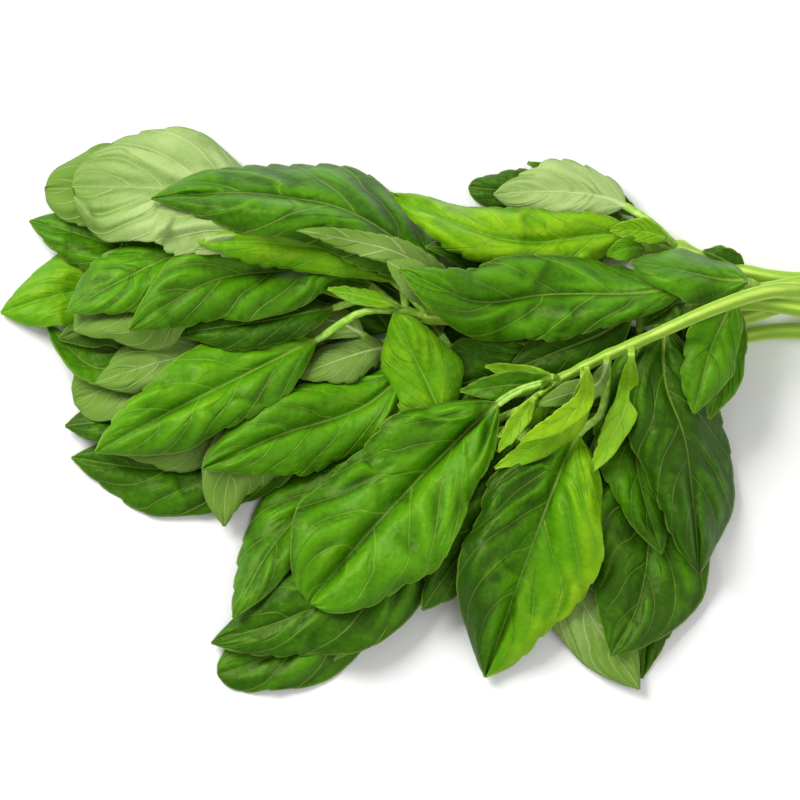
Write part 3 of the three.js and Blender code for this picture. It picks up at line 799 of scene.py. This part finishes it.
def leaf_top():
    """Satin and blistered, dark green to young lime, with fine paler veins, a painted highlight along its
    edge, painted shade in its hollows and creases and painted light on its crests.
    """
    finish = Finish("leaf_top", roughness=0.45)
    side, middle = vein_marks(finish, width=0.045)
    patches = finish.noise(size=0.016, detail=3)
    crease = creases(finish) * patches.rises(0.45, 0.65)
    fine = finish.noise(size=0.0015, detail=4)
    # The relief term paints shade into the blade's hollows and light onto its crests.
    shade = finish.fact("tone") + finish.fact("painted_relief_shade") * 0.13 + (patches - 0.5) * 0.5 + (fine - 0.5) * 0.22
    # Painted shade: the colour is darkened along the creases.
    shade = shade - crease * 0.1
    low = shade.rises(0.0, 0.5).mixes(LEAF_DARK, LEAF_GREEN)
    flesh = shade.rises(0.4, 1.0).mixes(low, LEAF_LIME)
    paler = 0.22 + finish.fact("tone") * 0.2
    veined = (side * paler).mixes(flesh, LEAF_VEIN)
    lined = (middle * 0.32).mixes(veined, LEAF_VEIN)
    # Painted highlight: the blade is lightened towards its edge, as a margin catching the light.
    edge_highlight = 1 - finish.fact("inward").rises(0.1, 0.7)
    finish.feed("Base Color", (edge_highlight * 0.25).mixes(lined, LEAF_VEIN))
    finish.feed("Roughness", 0.38 + fine * 0.14)
    blisters = 1 - finish.cells(size=0.0022)
    height = blisters * 0.6 + fine * 0.35 - side * 0.5 - crease * 0.6
    finish.feed("Normal", height.bump(strength=0.9, distance=0.0005))
    finish.shader.inputs["Specular IOR Level"].default_value = 0.3
    finish.shader.inputs["Specular Tint"].default_value = LEAF_SHINE
    return finish.material


def leaf_under():
    """Matt and pale, with its veins standing out, painted shade in its hollows and creases and painted light
    on its crests.
    """
    finish = Finish("leaf_under", roughness=0.6)
    side, middle = vein_marks(finish, width=0.07)
    patches = finish.noise(size=0.014, detail=3)
    crease = creases(finish) * patches.rises(0.45, 0.65)
    fine = finish.noise(size=0.0012, detail=4)
    # The relief term paints shade into the blade's hollows and light onto its crests.
    shade = finish.fact("tone") + finish.fact("painted_relief_shade") * 0.12 + (patches - 0.5) * 0.4 + (fine - 0.5) * 0.3
    # Painted shade: the colour is darkened along the creases. The blade also turns greener towards its tip.
    shade = shade - crease * 0.3 - finish.fact("blade").rises(0.6, 0.95) * 0.3
    flesh = shade.rises(0.0, 1.0).mixes(UNDER_GREEN, UNDER_PALE)
    veined = (side * 0.45).mixes(flesh, UNDER_VEIN)
    finish.feed("Base Color", (middle * 0.6).mixes(veined, UNDER_MIDRIB))
    height = fine * 0.35 + side * 1.1 + middle * 0.7 - crease * 0.9
    finish.feed("Normal", height.bump(strength=0.55, distance=0.0005))
    finish.shader.inputs["Specular IOR Level"].default_value = 0.3
    finish.shader.inputs["Specular Tint"].default_value = LEAF_SHINE
    return finish.material


def leaf_stalk():
    """The bare stalk, pale like the stem."""
    finish = Finish("leaf_stalk", roughness=0.42)
    streaks = finish.noise(size=0.002, detail=3)
    finish.feed("Base Color", streaks.rises(0.3, 0.7).mixes(STALK_PALE, STALK_GREEN))
    finish.feed("Normal", streaks.bump(strength=0.4, distance=0.0004))
    return finish.material


# A face's material is followed by that of the same leaf's other side.
BLADE_TOP = leaf_top()
STALK = leaf_stalk()
LEAF_MATERIALS = [BLADE_TOP, leaf_under(), BLADE_TOP, STALK, STALK]
TOP_UP = 0
UNDER_UP = 1
BARE_STALK = 3


def leaves_piece(name, leaves):
    """All the leaves of a stem, each a sheet that a modifier gives its thickness."""
    bm = bmesh.new()
    group = bm.verts.layers.deform.verify()
    for leaf in leaves:
        places, facts = FineLeaf(leaf).places_and_facts()
        made = sheet_of_faces(bm, places, facts)
        blade = bm.verts.layers.float["blade"]
        thick = bm.verts.layers.float["thick"]
        for vert in made:
            vert[group][0] = vert[thick]
        for face in {face for vert in made for face in vert.link_faces}:
            on_blade = max(vert[blade] for vert in face.verts) > 0
            side_up = UNDER_UP if leaf.under else TOP_UP
            face.material_index = side_up if on_blade else BARE_STALK
    made = finished(bm, name, LEAF_MATERIALS)
    made.vertex_groups.new(name="thickness")
    walls = made.modifiers.new("thickness", "SOLIDIFY")
    walls.thickness = THICKEST * METRES_PER_MM
    walls.offset = -1
    walls.vertex_group = "thickness"
    walls.material_offset = 1
    return made


pile = Pile()
LAID_SIDES = 8
STEM_REACH = 0.1  # what lies on a stem is kept this far off its surface


def grow(number, thickness, points, leaves):
    """Lays a stem on the pile, then its leaves one after another. Gives its centre line."""
    line = centre_line(Route(points), thickness, pile)
    own = Pile()
    own.cover(rings(line, LAID_SIDES), STEM_REACH)
    for index, leaf in enumerate(leaves):
        leaf.grow(line, number, index)
        leaf.lie(pile, own)
    pile.add(own)
    return line


def carried(pieces, node):
    """The fine pieces of a stem take the place of its plain solid."""
    for piece in pieces:
        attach(piece, "root")
        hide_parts(node)


FRONT_LOW_ROUTE = [
    (180, 11), (150, 22), (113, 23), (93, 10),
    (67, 1), (38, -5), (10, -18), (-16, -31),
]
front_low_leaves = [
    Leaf((93, 10), [(60, 22)], (-3, 27), 28, 0.12, tone=0.05),
    Leaf((58, -2), [(42, -16)], (16, -32), 28, 0.12, tone=0.1),
    Leaf((67, 1), [(62, -12)], (52, -34), 24, 0.12, tone=0.05),
    Leaf((38, -5), [(8, -5)], (-24, -10), 20, 0.12, tone=0.1),
    Leaf((10, -18), [(-14, -42)], (-46, -62), 22, 0.12, tone=0.08),
    Leaf((87, 6), [(83, -38)], (77, -88), 24, 0.12, tone=0.11, folds=0.8),
    Leaf((50, -2), [(54, -54)], (76, -92), 31, 0.12, under=True, tone=0.35, folds=0.6),
    Leaf((77, 4), [(79, -38), (76, -64)], (67, -82), 42, 0.12, tone=0.14, folds=0.8),
    Leaf((32, -7), [(-11, -52), (-31, -76)], (-58, -87), 30, 0.2, tone=0.2, folds=1.0, blunt=True),
    Leaf((38, -5), [(14, -44), (-4, -65)], (-21, -83), 16, 0.15, under=True),
    Leaf((22, -12), [(-6, -55), (-32, -69)], (-60, -77), 34, 0.15, tone=0.14, folds=0.8),
    Leaf((45, -3), [(28, -36)], (7, -68), 23, 0.15, tone=0.1, folds=0.9),
    Leaf((10, -18), [(-19, -25), (-39, -45)], (-53, -70), 25, 0.1, tone=0.26, folds=0.9),
]
line = grow(number=0, thickness=5.4, points=FRONT_LOW_ROUTE, leaves=front_low_leaves)
front_low_stem = stem_piece("front_low_stem", line, [leaf.root for leaf in front_low_leaves])
front_low_foliage = leaves_piece("front_low_foliage", front_low_leaves)
carried([front_low_stem, front_low_foliage], "leafy_stem_front_low")

# ---------------------------------------------------------------- left low leafy stem
# Lies beside the first and runs on to the far left. Grown in one piece with its leaves, some of
# which lie pale underside up.
LEFT_LOW_ROUTE = [
    (176, 37), (150, 35), (128, 33), (109, 27), (80, 20),
    (51, 18), (19, 17), (-6, 19), (-40, 19), (-72, 14),
]
left_low_leaves = [
    Leaf((88, 23), [(68, 12)], (42, 4), 27, 0.12, tone=0.1),
    Leaf((52, 18), [(30, 8)], (2, 2), 27, 0.12, tone=0.1),
    Leaf((28, 17), [(22, 32)], (2, 46), 24, 0.15, tone=0.15),
    Leaf((-2, 18), [(-10, 32)], (-30, 43), 26, 0.15, tone=0.15),
    Leaf((-25, 19), [(-44, -14), (-75, -21)], (-105, -17), 32, 0.2, tone=0.16, folds=0.8),
    Leaf((-45, 18), [(-60, -8)], (-88, -17), 20, 0.25, under=True),
    Leaf((-56, 17), [(-76, -3)], (-107, -7), 24, 0.15, tone=0.15),
    Leaf((-68, 15), [(-84, 9)], (-104, 0), 27, 0.1, under=True, cup=4, blunt=True),
    Leaf((-73, 14), [(-97, 11)], (-113, 26), 11, 0.15, tone=0.26),
    Leaf((-62, 16), [(-90, 37)], (-128, 30), 29, 0.2, tone=0.55, folds=1.0),
    Leaf((-50, 18), [(-82, 46)], (-119, 60), 26, 0.25, tone=0.22, folds=0.8),
    Leaf((-72, 14), [(-90, 24)], (-109, 20), 15, 0.12, tone=0.1),
    Leaf((19, 17), [(2, 33)], (-18, 44), 20, 0.12, tone=0.08),
    Leaf((-12, 19), [(-35, -2), (-53, -22)], (-56, -40), 26, 0.15, under=True, folds=0.5),
    Leaf((10, 17), [(-10, -1), (-38, -12)], (-63, -23), 28, 0.1, tone=0.35, folds=1.6),
    Leaf((-34, 19), [(-66, 14)], (-97, 5), 26, 0.15, under=True),
    Leaf((2, 18), [(-13, 15)], (-33, 7), 16, 0.12, under=True),
    Leaf((-6, 19), [(-22, 26)], (-44, 28), 14, 0.12, under=True),
]
line = grow(number=1, thickness=5.0, points=LEFT_LOW_ROUTE, leaves=left_low_leaves)
left_low_stem = stem_piece("left_low_stem", line, [leaf.root for leaf in left_low_leaves])
left_low_foliage = leaves_piece("left_low_foliage", left_low_leaves)
carried([left_low_stem, left_low_foliage], "leafy_stem_left_low")

# ---------------------------------------------------------------- left high leafy stem
# Lies over the left low stem: big blades, three of them turned over, on stalks grown out of the
# stem in pairs, with small young leaves at its bend.
LEFT_HIGH_ROUTE = [
    (182, 18), (150, 25), (128, 29), (110, 31), (83, 28),
    (51, 26), (22, 25), (0, 28), (-30, 38), (-58, 47),
]
left_high_leaves = [
    Leaf((8, 26), [(-10, 27), (-26, 19), (-59, 2)], (-97, -17), 29, 0.33, tone=0.36, folds=1.2, painted_side_shade=-0.1),
    Leaf((-14, 33), [(-38, 25)], (-70, 20), 18, 0.15, tone=0.1),
    Leaf((-50, 45), [(-72, 39)], (-104, 22), 40, 0.1, under=True, folds=0.8),
    Leaf((-56, 46), [(-76, 43)], (-106, 27), 24, 0.1, tone=0.3, folds=0.8),
    Leaf((2, 28), [(-19, 43), (-37, 41), (-59, 36)], (-86, 20), 30, 0.15, tone=0.28, folds=1.0),
    Leaf((-36, 40), [(-70, 66)], (-114, 70), 32, 0.25, under=True, tone=0.0, folds=1.8, blunt=True),
    Leaf(
        (-24, 36), [(-48, 54), (-72, 67)], (-105, 69), 44, 0.2,
        under=True, tone=0.6, folds=2.2, blunt=True,
    ),
    Leaf((0, 28), [(-6, 57)], (-38, 77), 23, 0.25, tone=0.35),
    Leaf((8, 26), [(-16, 45)], (-64, 47), 17, 0.2, tone=0.6, folds=0.6),
    Leaf((24, 25), [(8, 43), (-19, 59), (-50, 63)], (-79, 62), 32, 0.12, tone=0.22, folds=1.2),
    Leaf((30, 26), [(0, 43)], (-33, 50), 9, 0.15, under=True),
    Leaf((3, 28), [], (-23, 34), 6, 0.15, tone=0.6),
    Leaf((8, 26), [], (-2, 41), 6, 0.15, tone=0.6),
    Leaf((16, 25), [], (-4, 40), 12, 0.15, under=True),
]
line = grow(number=2, thickness=5.0, points=LEFT_HIGH_ROUTE, leaves=left_high_leaves)
left_high_stem = stem_piece("left_high_stem", line, [leaf.root for leaf in left_high_leaves])
left_high_foliage = leaves_piece("left_high_foliage", left_high_leaves)
carried([left_high_stem, left_high_foliage], "leafy_stem_left_high")

# ---------------------------------------------------------------- back leafy stem
# Runs along the back of the bunch, thickest at its cut end. Its leaves are slim and young, and
# grow from it in a close tuft.
BACK_ROUTE = [
    (174, 52), (150, 44), (128, 39), (107, 43), (96, 48),
    (91, 50), (77, 51), (61, 48), (42, 46),
]
back_leaves = [
    Leaf((115, 42), [], (97, 49), 9, 0.1, tone=0.15),
    Leaf((77, 51), [(45, 47)], (8, 48), 17, 0.1, tone=0.1),
    Leaf((91, 50), [(61, 65)], (22, 71), 16, 0.3, tone=0.1, blunt=True),
    Leaf((91, 50), [(66, 68)], (41, 79), 9, 0.3, tone=0.2),
    Leaf((91, 50), [(71, 64), (54, 68)], (30, 68), 22, 0.34, under=True, tone=0.65, folds=0.8),
    Leaf((88, 50), [(68, 54), (32, 51)], (-3, 66), 23, 0.15, tone=0.62, folds=1.4),
    Leaf((93, 49), [(80, 54)], (67, 55), 8, 0.2, tone=0.6),
    Leaf((83, 50), [], (66, 47), 8, 0.2, tone=0.45),
]
line = grow(number=3, thickness=5.6, points=BACK_ROUTE, leaves=back_leaves)
back_stem = stem_piece("back_stem", line, [leaf.root for leaf in back_leaves])
back_foliage = leaves_piece("back_foliage", back_leaves)
carried([back_stem, back_foliage], "leafy_stem_back")

# ---------------------------------------------------------------- middle leafy stem
# A short stem in the middle of the bunch with the darkest leaves, all grown from its last few
# knots.
MIDDLE_ROUTE = [
    (178, 46), (150, 40), (128, 37), (112, 34),
    (96, 32), (87, 30), (77, 27), (61, 24),
]
middle_leaves = [
    Leaf((93, 31), [(86, 8)], (68, -2), 24, 0.15, tone=0.08),
    Leaf((102, 31), [(96, 11)], (77, 0), 20, 0.15, tone=0.1),
    Leaf((80, 28), [(75, -20)], (83, -50), 25, 0.08, tone=0.2, folds=0.8),
    Leaf((86, 30), [(84, 4), (91, -18)], (95, -56), 32, 0.08, tone=0.05, folds=1.4),
    Leaf((111, 31), [(103, 8)], (98, -8), 13, 0.1, tone=0.22),
    Leaf((111, 32), [(99, 15)], (93, -7), 18, 0.08, tone=0.3, folds=0.8),
    Leaf((79, 28), [(60, 18)], (34, 9), 18, 0.08, tone=0.1),
    Leaf((93, 31), [], (77, 22), 9, 0.1, tone=0.1),
    Leaf((96, 31), [(77, 32), (46, 32), (22, 28)], (0, 37), 29, 0.1, tone=0.26, folds=1.3),
    Leaf((112, 32), [(96, 37)], (73, 42), 20, 0.12, tone=0.26, folds=0.6),
]
line = grow(number=4, thickness=4.8, points=MIDDLE_ROUTE, leaves=middle_leaves)
middle_stem = stem_piece("middle_stem", line, [leaf.root for leaf in middle_leaves])
middle_foliage = leaves_piece("middle_foliage", middle_leaves)
carried([middle_stem, middle_foliage], "leafy_stem_middle")

# ---------------------------------------------------------------- front high leafy stem
# The topmost stem, laid across the bunch towards the front: two of the largest blades and a
# tuft of lime young leaves, all grown from its pale end.
FRONT_HIGH_ROUTE = [
    (183, 29), (150, 31), (128, 32), (117, 31),
    (107, 28), (80, 17), (54, 6), (38, -5),
]
front_high_leaves = [
    Leaf((38, -5), [(17, -8), (7, 8)], (-2, 26), 24, 0.36, tone=0.55, folds=0.7),
    Leaf((51, 4), [], (27, 10), 6, 0.1, tone=0.7),
    Leaf((51, 4), [], (19, 2), 9, 0.1, tone=0.25),
    Leaf(
        (54, 6), [(34, -1), (11, -21), (-11, -45)], (-29, -66), 45, 0.2,
        tone=0.32, cup=4, folds=2.2, painted_side_shade=0.08, blunt=True,
    ),
    Leaf(
        (69, 12), [(64, -5), (55, -15), (41, -50)], (27, -88), 43, 0.25,
        tone=0.33, folds=2.0, painted_side_shade=0.42,
    ),
    Leaf((54, 6), [(45, -4)], (31, -14), 7, 0.15, tone=0.7),
    Leaf((69, 12), [(62, 2)], (43, -5), 8, 0.12, under=True),
    Leaf((73, 14), [(71, -6)], (60, -26), 9, 0.12, tone=0.7),
    Leaf((46, 1), [], (31, -19), 6, 0.15, tone=0.72),
    Leaf((62, 9), [(54, -10)], (30, -24), 9, 0.12, tone=0.66),
    Leaf((62, 9), [(57, -6)], (38, -17), 7, 0.12, tone=0.78),
]
line = grow(number=5, thickness=5.6, points=FRONT_HIGH_ROUTE, leaves=front_high_leaves)
front_high_stem = stem_piece("front_high_stem", line, [leaf.root for leaf in front_high_leaves])
front_high_foliage = leaves_piece("front_high_foliage", front_high_leaves)
carried([front_high_stem, front_high_foliage], "leafy_stem_front_high")

# ---------------------------------------------------------------- table, light and camera
# The bunch lies on a plain pale table under large soft lamps, seen from nearly overhead.
TABLE_HALF = 1.5
LOOK_AT = Vector((-0.0275, 0.0025, 0.0))
ELEVATION = math.radians(80)
DISTANCE = 2.5
VIEW_WIDTH = 0.256
SENSOR = 36
NEAREST = 0.05
WHITE = (1.0, 1.0, 1.0, 1.0)
SKY = 0.47


def table():
    bm = bmesh.new()
    bmesh.ops.create_grid(bm, x_segments=1, y_segments=1, size=TABLE_HALF)
    mesh = bpy.data.meshes.new("table")
    bm.to_mesh(mesh)
    bm.free()
    finish = Finish("table", roughness=0.8)
    grain = finish.noise(size=0.02)
    finish.feed("Base Color", grain.mixes(colour("f4f4f2"), colour("f8f8f6")))
    mesh.materials.append(finish.material)
    made = bpy.data.objects.new("table", mesh)
    bpy.context.scene.collection.objects.link(made)


def lamp(name, place, size, power):
    light = bpy.data.lights.new(name, "AREA")
    light.size = size
    light.energy = power
    made = bpy.data.objects.new(name, light)
    made.location = place
    made.rotation_euler = (LOOK_AT - Vector(place)).to_track_quat("-Z", "Y").to_euler()
    bpy.context.scene.collection.objects.link(made)


def camera():
    lens = bpy.data.cameras.new("camera")
    lens.sensor_width = SENSOR
    lens.lens = SENSOR * DISTANCE / VIEW_WIDTH
    lens.clip_start = NEAREST
    made = bpy.data.objects.new("camera", lens)
    made.location = LOOK_AT + DISTANCE * Vector((0, -math.cos(ELEVATION), math.sin(ELEVATION)))
    made.rotation_euler = (LOOK_AT - made.location).to_track_quat("-Z", "Y").to_euler()
    bpy.context.scene.collection.objects.link(made)
    bpy.context.scene.camera = made


table()
lamp("left_lamp", place=(-0.9, 0.75, 1.15), size=0.9, power=28)
lamp("right_lamp", place=(0.9, -0.6, 1.2), size=1.6, power=9)
camera()
world = bpy.data.worlds.new("studio")
world.use_nodes = True
sky = world.node_tree.nodes["Background"]
sky.inputs["Color"].default_value = WHITE
sky.inputs["Strength"].default_value = SKY
bpy.context.scene.world = world
bpy.context.scene.view_settings.view_transform = "Standard"
